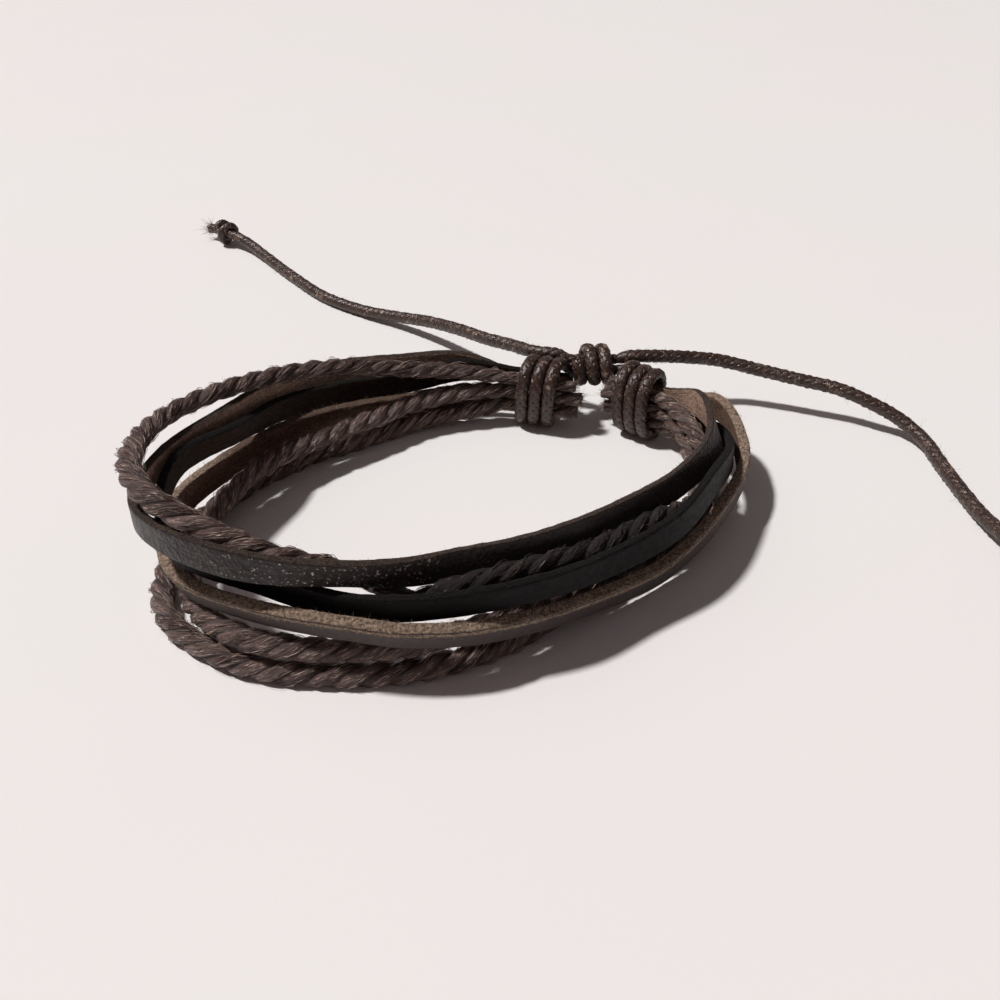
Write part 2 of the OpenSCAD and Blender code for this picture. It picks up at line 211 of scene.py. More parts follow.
# ------------------------------------------------------------------ meshes
class Pile:
    """Gathers tubes and hairs into one mesh. Places are in millimetres."""

    def __init__(self):
        self.v, self.loops, self.sizes, self.uv, self.mat, self.tint, self.side = [], [], [], [], [], [], []
        self.count = 0

    def add(self, V, faces, uv, mat=0, tint=0.5, side=0.0):
        V = np.asarray(V, float).reshape(-1, 3)
        self.v.append(V)
        self.tint.append(np.broadcast_to(np.asarray(tint, float), (len(V),)))
        self.side.append(np.broadcast_to(np.asarray(side, float), (len(V),)))
        for F, T in zip(faces, uv):
            if len(F) == 0:
                continue
            self.loops.append((F + self.count).ravel())
            self.sizes.append(np.full(len(F), F.shape[1]))
            self.uv.append(T.reshape(-1, 2))
            self.mat.append(np.full(len(F), mat))
        self.count += len(V)

    def rings(self, R, s, around, mat=0, tint=0.5, side=0.0, caps=True):
        """A closed tube through m rings of n points. s is the length along it, around the width round it."""
        m, n = R.shape[:2]
        i, j = np.meshgrid(np.arange(m - 1), np.arange(n), indexing="ij")
        a, b = i * n + j, i * n + (j + 1) % n
        F = np.stack([a, b, b + n, a + n], -1).reshape(-1, 4)
        w = np.append(around, around[-1] + (around[-1] - around[-2] if n > 1 else 0))
        T = np.stack([
            np.stack([s[i], w[j]], -1), np.stack([s[i], w[j + 1]], -1),
            np.stack([s[i + 1], w[j + 1]], -1), np.stack([s[i + 1], w[j]], -1)], -2).reshape(-1, 4, 2)
        V = R.reshape(-1, 3)
        faces, uvs = [F], [T]
        tint = np.broadcast_to(np.asarray(tint, float), (m, n)).reshape(-1)
        side = np.broadcast_to(np.asarray(side, float), (m, n)).reshape(-1)
        if caps:
            ends = np.stack([R[0].mean(0), R[-1].mean(0)])
            V = np.vstack([V, ends])
            tint = np.append(tint, [tint[0], tint[-1]])
            side = np.append(side, [1.0, 1.0])
            k = np.arange(n)
            c0 = np.stack([np.full(n, m * n), (k + 1) % n, k], -1)
            c1 = np.stack([np.full(n, m * n + 1), (m - 1) * n + k, (m - 1) * n + (k + 1) % n], -1)
            for C, at in ((c0, s[0]), (c1, s[-1])):
                faces.append(C)
                uvs.append(np.stack([np.full((n, 3), at), np.stack([w[k], w[k], w[k]], -1)], -1))
        self.add(V, faces, uvs, mat, tint, side)

    def hairs(self, root, way, length, radius, bend, mat=0, tint=0.5, side=0.0, seg=3, curl=None):
        """Thin tapered hairs, three-sided."""
        root, way, bend = np.asarray(root, float), unit(np.asarray(way, float)), np.asarray(bend, float)
        h = len(root)
        if h == 0:
            return
        length = np.broadcast_to(np.asarray(length, float), (h,))
        radius = np.broadcast_to(np.asarray(radius, float), (h,))
        t = np.linspace(0, 1, seg + 1)
        P = root[:, None] + way[:, None] * (length[:, None] * t)[..., None] + bend[:, None] * (length[:, None] * t ** 2)[..., None]
        if curl is not None:
            P = P + curl(P, t)
        a = unit(np.cross(way, [0.31, 0.53, 0.79]))
        b = np.cross(way, a)
        ang = TAU * np.arange(3) / 3
        ring = a[:, None, None] * np.cos(ang)[None, None, :, None] + b[:, None, None] * np.sin(ang)[None, None, :, None]
        R = P[:, :, None] + ring * (radius[:, None] * (1 - 0.75 * t))[..., None, None]
        V = R.reshape(-1, 3)
        base = (np.arange(h) * (seg + 1) * 3)[:, None, None]
        i, j = np.meshgrid(np.arange(seg), np.arange(3), indexing="ij")
        q, w = i * 3 + j, i * 3 + (j + 1) % 3
        F = (np.stack([q, w, w + 3, q + 3], -1).reshape(1, -1, 4) + base).reshape(-1, 4)
        c = np.array([[0, 2, 1], [seg * 3, seg * 3 + 1, seg * 3 + 2]])
        C = (c[None] + base).reshape(-1, 3)
        tint = np.broadcast_to(np.asarray(tint, float), (h,))
        self.add(V, [F, C], [np.zeros((len(F), 4, 2)), np.zeros((len(C), 3, 2))], mat,
                 np.repeat(tint, (seg + 1) * 3), side)

    def triangles(self):
        return int(sum((s - 2).sum() for s in self.sizes))

    def piece(self, name, materials, nodes):
        V = np.vstack(self.v) * MM
        loops, sizes = np.concatenate(self.loops), np.concatenate(self.sizes)
        me = bpy.data.meshes.new(name)
        me.vertices.add(len(V))
        me.vertices.foreach_set("co", V.astype(np.float32).ravel())
        me.loops.add(len(loops))
        me.loops.foreach_set("vertex_index", loops.astype(np.int32))
        me.polygons.add(len(sizes))
        me.polygons.foreach_set("loop_start", np.concatenate([[0], np.cumsum(sizes)[:-1]]).astype(np.int32))
        me.polygons.foreach_set("material_index", np.concatenate(self.mat).astype(np.int32))
        me.polygons.foreach_set("use_smooth", np.ones(len(sizes), bool))
        layer = me.uv_layers.new(name="strand_mm")
        layer.uv.foreach_set("vector", np.concatenate(self.uv).astype(np.float32).ravel())
        for key, values in (("tint", self.tint), ("side", self.side)):
            me.attributes.new(key, "FLOAT", "POINT").data.foreach_set("value", np.concatenate(values).astype(np.float32))
        me.update(calc_edges=True)
        me.validate()
        for m in materials:
            me.materials.append(m)
        ob = bpy.data.objects.new(name, me)
        scene.collection.objects.link(ob)
        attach(ob, "root")
        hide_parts(*nodes)
        print(f"{name}: {self.triangles()} triangles")
        return ob


# ------------------------------------------------------------------ materials
def srgb(r, g, b):
    """A colour given as in a picture, 0 to 255, as linear light."""
    c = [x / 255 for x in (r, g, b)]
    return tuple(x / 12.92 if x <= 0.04045 else ((x + 0.055) / 1.055) ** 2.4 for x in c) + (1.0,)


class Look:
    """A node material under construction."""

    def __init__(self, name):
        self.m = bpy.data.materials.new(name)
        self.m.use_nodes = True
        self.t = self.m.node_tree
        self.t.nodes.clear()
        self.out = self.t.nodes.new("ShaderNodeOutputMaterial")
        self.bsdf = self.t.nodes.new("ShaderNodeBsdfPrincipled")
        self.t.links.new(self.bsdf.outputs[0], self.out.inputs[0])
        co = self.t.nodes.new("ShaderNodeTexCoord")
        s = self.t.nodes.new("ShaderNodeVectorMath")
        s.operation = "SCALE"
        s.inputs["Scale"].default_value = 1 / MM
        self.t.links.new(co.outputs["Object"], s.inputs[0])
        self.place = s.outputs[0]  # millimetres
        uv = self.t.nodes.new("ShaderNodeUVMap")
        uv.uv_map = "strand_mm"
        self.along = uv.outputs[0]  # millimetres along and round the strand

    def plug(self, socket, value):
        if isinstance(value, bpy.types.NodeSocket):
            self.t.links.new(value, socket)
        elif value is not None:
            socket.default_value = value

    def attribute(self, name):
        n = self.t.nodes.new("ShaderNodeAttribute")
        n.attribute_name = name
        return n.outputs["Fac"]

    def scaled(self, vector, xyz):
        n = self.t.nodes.new("ShaderNodeVectorMath")
        n.operation = "MULTIPLY"
        self.plug(n.inputs[0], vector)
        n.inputs[1].default_value = xyz
        return n.outputs[0]

    def parts(self, vector):
        n = self.t.nodes.new("ShaderNodeSeparateXYZ")
        self.plug(n.inputs[0], vector)
        return n.outputs

    def slanted(self, vector, amount):
        """The same place with y shifted by x times amount."""
        x, y, z = self.parts(vector)
        n = self.t.nodes.new("ShaderNodeCombineXYZ")
        self.plug(n.inputs[0], x)
        self.plug(n.inputs[1], self.maths("MULTIPLY_ADD", x, amount, y))
        return n.outputs[0]

    def added(self, a, b):
        n = self.t.nodes.new("ShaderNodeVectorMath")
        self.plug(n.inputs[0], a)
        self.plug(n.inputs[1], b)
        return n.outputs[0]

    def noise(self, vector, scale=1.0, detail=2.0, rough=0.5, distort=0.0, colour=False):
        n = self.t.nodes.new("ShaderNodeTexNoise")
        self.plug(n.inputs["Vector"], vector)
        n.inputs["Scale"].default_value = scale
        n.inputs["Detail"].default_value = detail
        n.inputs["Roughness"].default_value = rough
        n.inputs["Distortion"].default_value = distort
        return n.outputs["Color" if colour else 0]

    def cells(self, vector, scale=1.0, feature="F1", random=1.0, out="Distance"):
        n = self.t.nodes.new("ShaderNodeTexVoronoi")
        n.feature = feature
        self.plug(n.inputs["Vector"], vector)
        n.inputs["Scale"].default_value = scale
        n.inputs["Randomness"].default_value = random
        return n.outputs[out]

    def maths(self, op, a, b=0.0, c=0.0, clamp=False):
        n = self.t.nodes.new("ShaderNodeMath")
        n.operation = op
        n.use_clamp = clamp
        for k, x in enumerate((a, b, c)):
            self.plug(n.inputs[k], x)
        return n.outputs[0]

    def ramp(self, value, low, high, to_low=0.0, to_high=1.0):
        n = self.t.nodes.new("ShaderNodeMapRange")
        n.interpolation_type = "SMOOTHSTEP"
        self.plug(n.inputs["Value"], value)
        n.inputs["From Min"].default_value = low
        n.inputs["From Max"].default_value = high
        n.inputs["To Min"].default_value = to_low
        n.inputs["To Max"].default_value = to_high
        return n.outputs[0]

    def mix(self, fac, a, b, kind="MIX"):
        n = self.t.nodes.new("ShaderNodeMix")
        n.data_type = "RGBA"
        n.blend_type = kind
        self.plug(n.inputs["Factor"], fac)
        self.plug(n.inputs["A"] if False else n.inputs[6], a)
        self.plug(n.inputs["B"] if False else n.inputs[7], b)
        return n.outputs[2]

    def mix_value(self, fac, a, b):
        n = self.t.nodes.new("ShaderNodeMix")
        n.data_type = "FLOAT"
        self.plug(n.inputs[0], fac)
        self.plug(n.inputs[2], a)
        self.plug(n.inputs[3], b)
        return n.outputs[0]

    def bump(self, height, distance, strength=1.0, before=None):
        n = self.t.nodes.new("ShaderNodeBump")
        n.inputs["Strength"].default_value = strength
        n.inputs["Distance"].default_value = distance * MM
        self.plug(n.inputs["Height"], height)
        self.plug(n.inputs["Normal"], before)
        return n.outputs[0]

    def finish(self, colour, rough, normal=None, **constants):
        self.plug(self.bsdf.inputs["Base Color"], colour)
        self.plug(self.bsdf.inputs["Roughness"], rough)
        self.plug(self.bsdf.inputs["Normal"], normal)
        for key, value in constants.items():
            self.bsdf.inputs[key.replace("_", " ")].default_value = value
        return self.m


def leather(name, face, wear, edge, edge_light, flesh, flesh_light, rough, grain, grain_size, spec, flesh_at=1.55, painted_glint=None, dark_back=None):
    """A strap: dyed grain side, raw edges, fibrous flesh side. The attribute side is 0, 1 and 2 there."""
    k = Look(name)
    side = k.attribute("side")
    ragged = k.maths("ADD", side, k.maths("MULTIPLY", k.maths("SUBTRACT", k.noise(k.place, 2.6, 3, 0.7), 0.5), 0.55))
    is_edge = k.ramp(ragged, 0.28, 0.62)
    is_flesh = k.ramp(ragged, flesh_at - 0.15, flesh_at + 0.2)
    patch = k.noise(k.place, 0.16, 3, 0.55)
    # pebbled grain: domed cells with a softer second size over them
    bent = k.added(k.place, k.scaled(k.noise(k.place, 1.1, 2, 0.5, colour=True), (0.35, 0.35, 0.35)))
    pebble = k.cells(bent, 1 / grain_size, "SMOOTH_F1")
    dome = k.maths("SUBTRACT", 1.0, k.maths("MULTIPLY", pebble, pebble))
    crease = k.noise(k.scaled(k.along, (0.35, 1.6, 1)), 1.0, 4, 0.6)
    fine_grain = k.noise(k.place, 9, 2, 0.6)
    height = k.maths("ADD", k.maths("MULTIPLY", dome, k.ramp(patch, 0.3, 0.6, 0.35, 1.0)), k.maths("MULTIPLY", fine_grain, 0.22))
    face_colour = k.mix(k.maths("MULTIPLY", k.ramp(pebble, 0.05, 0.5, 1, 0), k.ramp(crease, 0.42, 0.72)), face, wear)
    if painted_glint:
        # painted glints on the pebble tops on the left part of the front
        x, y, z = k.parts(k.place)
        where = k.maths("MULTIPLY", k.maths("MULTIPLY", k.ramp(x, -25, -18), k.ramp(x, 2, -5)), k.ramp(y, -10, -14))
        dots = k.maths("MULTIPLY", k.ramp(pebble, 0.10, 0.32, 0.8, 0), k.ramp(k.noise(k.place, 2.2, 3, 0.65), 0.42, 0.58))
        face_colour = k.mix(k.maths("MULTIPLY", where, dots), face_colour, painted_glint)
    # raw edge and flesh: matted fibres
    mat_noise = k.noise(k.place, 3.2, 5, 0.75)
    fibre = k.noise(k.scaled(k.along, (0.5, 4.5, 1)), 1.0, 5, 0.7, 0.4)
    edge_colour = k.mix(k.ramp(mat_noise, 0.36, 0.66), edge, edge_light)
    if dark_back:
        # the raw edge behind the opening is darker
        x, y, z = k.parts(k.place)
        edge_colour = k.mix(k.maths("MULTIPLY", k.ramp(y, 0, 7), k.ramp(x, 16, 8, 0.0, 0.85)), edge_colour, dark_back)
    flesh_colour = k.mix(k.ramp(k.maths("ADD", k.maths("MULTIPLY", mat_noise, 0.55), k.maths("MULTIPLY", fibre, 0.45)), 0.38, 0.66), flesh, flesh_light)
    colour = k.mix(is_flesh, k.mix(is_edge, face_colour, edge_colour), flesh_colour)
    raw = k.maths("MAXIMUM", is_edge, is_flesh)
    face_rough = k.ramp(k.noise(k.place, 1.4, 4, 0.6), 0.3, 0.7, rough - 0.07, rough + 0.1)
    normal = k.bump(height, grain, 1.0)
    normal = k.bump(k.maths("MULTIPLY", k.maths("ADD", mat_noise, k.maths("MULTIPLY", fibre, 0.5)), raw), 0.35, 1.0, normal)
    return k.finish(colour, k.mix_value(raw, face_rough, 0.92), normal, Specular_IOR_Level=spec, Sheen_Weight=0.05, Sheen_Roughness=0.5)


def painted_shadow_mask(k):
    """1 on the stretch of the top cord under the front of the top strap, where a shadow is painted."""
    x, y, z = k.parts(k.place)
    return k.maths("MULTIPLY", k.maths("MULTIPLY", k.ramp(x, -8, -2), k.ramp(y, -6, -11)), k.ramp(z, 12.6, 11.4))


def fuzz(name, dark, light, rough=0.8, dim=False):
    k = Look(name)
    tint = k.attribute("tint")
    colour = k.mix(k.maths("MULTIPLY", tint, k.ramp(k.noise(k.place, 2.2, 2), 0.25, 0.75, 0.7, 1.15)), dark, light)
    if dim:
        # painted shadow on the loose fibres of the top cord under the front of the top strap
        few = k.ramp(k.noise(k.place, 0.9, 2), 0.56, 0.66, 0.93, 0.5)
        colour = k.mix(k.maths("MULTIPLY", painted_shadow_mask(k), few), colour, srgb(20, 14, 12))
    return k.finish(colour, rough, None, Specular_IOR_Level=0.35)


def plies(name, dark, base, glint, dim=False):
    """Twisted fibres: streaks run along each ply, a little across it."""
    k = Look(name)
    tint = k.attribute("tint")
    groove = k.attribute("side")
    lay = k.slanted(k.along, -0.3)
    streak = k.noise(k.scaled(lay, (0.55, 5.0, 1)), 1.0, 4, 0.7, 0.3)
    hair = k.noise(k.scaled(lay, (1.2, 10.0, 1)), 1.0, 3, 0.65, 0.2)
    broad = k.noise(k.place, 0.6, 3, 0.6)
    both = k.maths("MULTIPLY_ADD", hair, 0.45, k.maths("MULTIPLY", streak, 0.55))
    colour = k.mix(k.ramp(both, 0.40, 0.60), dark, base)
    colour = k.mix(k.ramp(broad, 0.35, 0.7, 0.0, 0.45), colour, dark)
    # painted highlights: light dashes along the ply crests, none in the grooves
    dash = k.maths("MULTIPLY", k.ramp(hair, 0.54, 0.62), k.ramp(k.noise(k.scaled(lay, (0.8, 2.4, 1)), 1.0, 2), 0.48, 0.58))
    colour = k.mix(k.maths("MULTIPLY", dash, k.ramp(groove, 0.1, 0.6, 0.9, 0)), colour, glint)
    # painted shade in the grooves between the plies
    colour = k.mix(k.ramp(groove, 0.25, 0.95, 0, 0.9), colour, srgb(10, 7, 6))
    colour = k.mix(k.maths("MULTIPLY", tint, 0.12), colour, glint)
    rough = k.ramp(streak, 0.3, 0.7, 0.52, 0.3)
    if dim:
        # painted shadow: a darker stretch of the top cord under the front of the top strap
        where = painted_shadow_mask(k)
        colour = k.mix(k.maths("MULTIPLY", where, 0.9), colour, srgb(15, 10, 9))
        rough = k.mix_value(where, rough, 0.85)
    height = k.maths("MULTIPLY_ADD", hair, 0.7, streak)
    return k.finish(colour, rough, k.bump(height, 0.26, 1.0), Specular_IOR_Level=0.5)


def waxed(name, dark, base, glint, shine=0.34):
    """Waxed braid: flat strands of fine fibres under a film of wax, with painted pale glint patches."""
    k = Look(name)
    tint = k.attribute("tint")
    streak = k.noise(k.scaled(k.along, (0.7, 9.0, 1)), 1.0, 4, 0.6, 0.15)
    wax = k.noise(k.place, 1.5, 4, 0.6)
    colour = k.mix(k.ramp(streak, 0.3, 0.7), dark, base)
    # painted highlight: pale glint patches scattered over the braid
    glint_patches = k.maths("MULTIPLY", k.ramp(k.noise(k.place, 1.1, 3, 0.6), 0.5, 0.66), k.ramp(tint, 0.45, 0.9))
    colour = k.mix(glint_patches, colour, glint)
    height = k.maths("ADD", k.maths("MULTIPLY", streak, 0.8), k.maths("MULTIPLY", wax, 0.5))
    return k.finish(colour, k.ramp(wax, 0.35, 0.7, shine - 0.08, shine + 0.2), k.bump(height, 0.09, 1.0), Specular_IOR_Level=0.55)


TOP_LEATHER = leather("grained_leather", srgb(38, 30, 28), srgb(70, 57, 51), srgb(38, 29, 25), srgb(86, 68, 56),
                      srgb(118, 93, 78), srgb(206, 172, 150), 0.42, 0.2, 0.36, 0.35, painted_glint=srgb(214, 198, 188))
MIDDLE_LEATHER = leather("smooth_leather", srgb(10, 7, 7), srgb(18, 14, 13), srgb(8, 6, 6), srgb(26, 21, 19),
                         srgb(38, 28, 23), srgb(74, 58, 49), 0.55, 0.03, 0.5, 0.1)
BOTTOM_LEATHER = leather("suede_edged_leather", srgb(66, 57, 54), srgb(84, 74, 69), srgb(98, 80, 66), srgb(196, 172, 149),
                         srgb(78, 57, 46), srgb(146, 114, 94), 0.55, 0.025, 0.5, 0.3, dark_back=srgb(84, 63, 50))
SUEDE_FUZZ = fuzz("suede_fuzz", srgb(98, 82, 70), srgb(196, 176, 156))
FLESH_FUZZ = fuzz("flesh_fuzz", srgb(58, 44, 34), srgb(128, 104, 84))
DARK_FUZZ = fuzz("edge_fuzz", srgb(34, 28, 26), srgb(104, 90, 80))
PLY = plies("twisted_fibre", srgb(34, 20, 17), srgb(98, 68, 61), srgb(224, 198, 186))
PLY_TOP = plies("twisted_fibre_top", srgb(34, 20, 17), srgb(98, 68, 61), srgb(224, 198, 186), dim=True)
PLY_FUZZ = fuzz("loose_fibre", srgb(54, 36, 31), srgb(226, 200, 184), 0.45)
PLY_FUZZ_TOP = fuzz("loose_fibre_top", srgb(54, 36, 31), srgb(226, 200, 184), 0.45, dim=True)
WAXED = waxed("waxed_braid", srgb(34, 23, 19), srgb(76, 55, 46), srgb(152, 128, 110), 0.28)
WAXED_FUZZ = fuzz("braid_fibre", srgb(58, 44, 38), srgb(134, 112, 96), 0.6)


# ------------------------------------------------------------------ routes
def in_wrap(mid, head, s, p, q):
    return mid + np.array([s * cosd(head) - p * sind(head), s * sind(head) + p * cosd(head), q])


def strand(k):
    b = BOUND[k]
    strap = k < 3
    sq = STRAP_SQUEEZE if strap else CORD_SQUEEZE
    lift = STRAP_W[k] * sq / 2 if strap else 0
    rows = [[*in_wrap(LEFT_MID, LEFT_HEADING, s, b[0], b[1] + lift), 0, sq] for s in (b[2], 1, -BOUND_HALF)]
    for row in SECTIONS:
        c = row[k + 1]
        rows.append([c[0] * cosd(row[0]), c[0] * sind(row[0]), c[1], c[2] if strap else 0, 1])
    rows += [[*in_wrap(RIGHT_MID, RIGHT_HEADING, s, b[3], b[4] + lift), 0, sq] for s in (BOUND_HALF, -1, -b[5])]
    return rows


def in_knot(s, side):
    return KNOT_MID + np.array([s, side * CORD_APART * cosd(KNOT_TILT), side * CORD_APART * sind(KNOT_TILT)])


def squarish(v):
    return math.copysign(abs(v) ** (2 / BUNDLE_ROUND), v)


def turns(mid, head, a0, count, direction, s0, pitch):
    n = math.ceil(count * 40)
    rows = []
    for i in range(n + 1):
        a = math.radians(a0 + direction * 360 * count * i / n)
        c = in_wrap(mid, head, s0 + pitch * count * i / n, (BUNDLE_DEPTH + TURN_T / 2) * squarish(math.cos(a)),
                    (BUNDLE_HEIGHT + TURN_T / 2) * squarish(math.sin(a)))
        rows.append([*c, TURN_W / 2, TURN_T / 2])
    return rows


# ------------------------------------------------------------------ braided cord
def braid(pile, P, U, W, a, b, pitch=4.6, seed=1, mat=0, carriers=4, tone=None):
    """Round braid along P: strands in both directions, over one and under one. a and b are half sizes along U and W."""
    rng = np.random.default_rng(seed)
    s = lengths(P)
    a, b = np.broadcast_to(a, s.shape), np.broadcast_to(b, s.shape)
    size = np.sqrt(a * b)
    wave = np.cos(2 * carriers * TAU / 2 * s * 2 / pitch)
    lift = 0.07
    thick, wide = 0.235, 0.50
    for way in (1, -1):
        for j in range(carriers):
            ang = way * TAU * s / pitch + TAU * j / carriers + 0.06 * noise(s[:, None] * 0.6, seed * 17 + j + 7 * way)
            r = 1 - thick - lift + way * lift * wave + 0.015 * noise(s[:, None] * 1.7, seed * 31 + j + 3 * way)
            C = P + U * (a * r * np.cos(ang))[:, None] + W * (b * r * np.sin(ang))[:, None]
            N = unit(U * (b * np.cos(ang))[:, None] + W * (a * np.sin(ang))[:, None])
            T = tangents(C)
            N = unit(N - T * np.sum(N * T, 1, keepdims=True))
            B = np.cross(T, N)
            n = 8
            th = TAU * (np.arange(n) + 0.5) / n
            ct, st = np.cos(th), np.sin(th)
            ct = np.sign(ct) * np.abs(ct) ** 0.8
            st = np.sign(st) * np.abs(st) ** 0.8
            w = wide * (1 + 0.06 * noise(s[:, None] * 0.9, seed * 13 + j + 5 * way))
            R = C[:, None] + N[:, None] * (ct[None] * (thick * size)[:, None])[..., None] + B[:, None] * (st[None] * (w * size)[:, None])[..., None]
            t = rng.uniform(0, 1) * 0.4 + 0.3 + 0.3 * noise(s[:, None] * 0.45, seed * 19 + j + 11 * way)
            pile.rings(R, s + rng.uniform(0, 50), th * 0.45 * size.mean() + rng.uniform(0, 9), mat, t[:, None])
    # dark core that closes the gaps between the strands
    n = 12
    th = TAU * np.arange(n) / n
    keep = slice(0, None, 2)
    R = P[keep, None] + U[keep, None] * (np.cos(th)[None] * (a[keep] * 0.66)[:, None])[..., None] + W[keep, None] * (np.sin(th)[None] * (b[keep] * 0.66)[:, None])[..., None]
    pile.rings(R, s[keep], th * 0.5, mat, 0.1)


def stray(pile, P, r, count, seed, mat, length=(0.4, 1.4), radius=0.018, lift=0.5, tint=(0.1, 0.9)):
    """Short loose fibres standing off a cord."""
    rng = np.random.default_rng(seed)
    i = rng.integers(1, len(P) - 1, count)
    T, U, W = carried(P, np.array([0.1, 0.2, 1.0]))
    a = rng.uniform(0, TAU, count)
    n = U[i] * np.cos(a)[:, None] + W[i] * np.sin(a)[:, None]
    rr = r[i] if np.ndim(r) else r
    root = P[i] + n * (np.asarray(rr) * 0.95)[..., None] if np.ndim(rr) else P[i] + n * rr * 0.95
    along = T[i] * rng.choice([-1, 1], count)[:, None] * rng.uniform(0.4, 1.2, count)[:, None]
    way = unit(along + n * lift + rng.normal(0, 0.35, (count, 3)))
    bend = rng.normal(0, 0.35, (count, 3)) - n * 0.2
    pile.hairs(root, way, rng.uniform(*length, count), radius * rng.uniform(0.6, 1.2, count), bend, mat,
               rng.uniform(*tint, count), seg=4)


def on_table(V, low=0.04):
    """Keeps loose fibres from going into the table."""
    V[:, 2] = np.maximum(V[:, 2], low)


def tail(name, node, route, direction, seed):
    rows = [[*in_knot(direction * s, 1), SQUEEZED_D / 2] for s in (0.1, 2, 3.3)]
    rows += [[*p, TIE_D / 2] for p in route]
    Q = fine(rows, 0.26)
    P = Q[:, :3] + REST
    r = np.clip(Q[:, 3], SQUEEZED_D / 2, TIE_D / 2)
    T, U, W = toward(P, [0, 0, 1])
    pile = Pile()
    braid(pile, P, U, W, r, r, seed=seed)
    stray(pile, P, r, 220, seed + 5, 1)
    for V in pile.v:
        on_table(V, 0.03)
    ob = pile.piece(name, [WAXED, WAXED_FUZZ], [node])
    return ob, P


def end_knot(name, node, route, seed):
    """Tight overhand knot: in along the middle, once and a half round the outside, and out through the middle."""
    tip = np.array(route[-1], float)
    t = unit(tip - np.array(route[-2], float))
    flat = unit(np.array([t[0], t[1], 0]))
    o = tip + flat * (0.3 + END_KNOT_L / 2)
    X, Z = flat, np.array([0.0, 0, 1])
    Y = np.cross(Z, X)
    R = END_KNOT_D / 2
    c = 0.80
    rows = []

    def at(x, y, z, d):
        rows.append([*(o + X * x + Y * y + Z * z), d])

    at(-3.3, 0, 0, 0.93)
    at(-2.2, 0.25, 0.1, 0.85)
    at(-0.6, 0.48, 0.3, 0.72)
    at(0.9, 0.62, 0.3, 0.72)
    n = 22
    for i in range(n + 1):
        u = i / n
        a = math.radians(20 + 540 * u)
        grow = float(smooth(np.array(min(u, 1 - u) * 6)))
        rad = 0.75 + (R - c - 0.75) * grow
        at(1.75 - 3.5 * u, rad * math.cos(a), rad * math.sin(a), 0.76 + 0.04 * grow)
    at(-0.7, -0.5, -0.35, 0.72)
    at(0.9, -0.5, -0.3, 0.72)
    at(2.2, -0.3, -0.1, 0.82)
    at(3.3, -0.1, -0.1, 0.9)
    at(4.5, 0.05, -0.25, 0.92)
    Q = fine(rows, 0.24)
    P = Q[:, :3] + REST
    r = Q[:, 3]
    T, U, W = carried(P, Z)
    pile = Pile()
    braid(pile, P, U, W, r, r, seed=seed)
    stray(pile, P, r, 60, seed + 3, 1)
    # frayed cut end
    rng = np.random.default_rng(seed + 9)
    k = 90
    a, q = rng.uniform(0, TAU, k), np.sqrt(rng.uniform(0, 1, k)) * 0.8
    root = P[-1] + U[-1] * (q * np.cos(a))[:, None] + W[-1] * (q * np.sin(a))[:, None] - T[-1] * 0.3
    out = U[-1] * np.cos(a)[:, None] + W[-1] * np.sin(a)[:, None]
    pile.hairs(root, T[-1] + out * (q * 0.7)[:, None] + rng.normal(0, 0.25, (k, 3)), rng.uniform(0.7, 2.0, k), 0.035,
               rng.normal(0, 0.4, (k, 3)), 1, rng.uniform(0.1, 0.9, k), seg=4)
    for V in pile.v:
        on_table(V, 0.05)
    return pile.piece(name, [WAXED, WAXED_FUZZ], [node]), P


tail_left, left_line = tail("tail_left_braid", "tail_left", LEFT_TAIL, -1, 3)
tail_right, right_line = tail("tail_right_braid", "tail_right", RIGHT_TAIL, 1, 4)
knot_left, _ = end_knot("end_knot_left_braid", "end_knot_left", LEFT_TAIL, 21)
knot_right, _ = end_knot("end_knot_right_braid", "end_knot_right", RIGHT_TAIL, 22)


# ------------------------------------------------------------------ wraps and sliding knot
def wrap(name, node, rows_turns, lead, knot_s, mid, head, seed):
    rows = [list(r) for r in rows_turns]
    rows += [[*p, SQUEEZED_D / 2, SQUEEZED_D / 2] for p in lead]
    rows += [[*in_knot(s, -1), SQUEEZED_D / 2, SQUEEZED_D / 2] for s in knot_s]
    Q = fine(rows, 0.26)
    P = Q[:, :3] + REST
    axis = np.array([cosd(head), sind(head), 0])
    count = int(len(P) * 0.86)
    T = tangents(P)
    U = np.empty_like(T)
    u = axis
    for i in range(len(P)):
        near = np.linalg.norm(P[i] - REST - mid) < 6.2 and i < len(P) * 0.9
        u = (axis if near else u)
        u = u - T[i] * np.dot(u, T[i])
        u = u / np.linalg.norm(u)
        U[i] = u
    W = np.cross(T, U)
    pile = Pile()
    braid(pile, P, U, W, Q[:, 3] * 1.12, Q[:, 4] * 1.08, seed=seed)
    stray(pile, P, Q[:, 4], 90, seed + 3, 1)
    for V in pile.v:
        on_table(V, 0.03)
    return pile.piece(name, [WAXED, WAXED_FUZZ], [node])


wrap("left_wrap_braid", "left_wrap", turns(LEFT_MID, LEFT_HEADING, 60 + 360 * LEFT_TURNS, LEFT_TURNS, -1, -2.3, 1.8),
     LEFT_LEAD, (-3.2, -2, -0.1), LEFT_MID, LEFT_HEADING, 31)
wrap("right_wrap_braid", "right_wrap", turns(RIGHT_MID, RIGHT_HEADING, 20 + 360 * RIGHT_TURNS, RIGHT_TURNS, -1, 2.45, -1.8),
     RIGHT_LEAD, (3.3, 2, 0.1), RIGHT_MID, RIGHT_HEADING, 32)


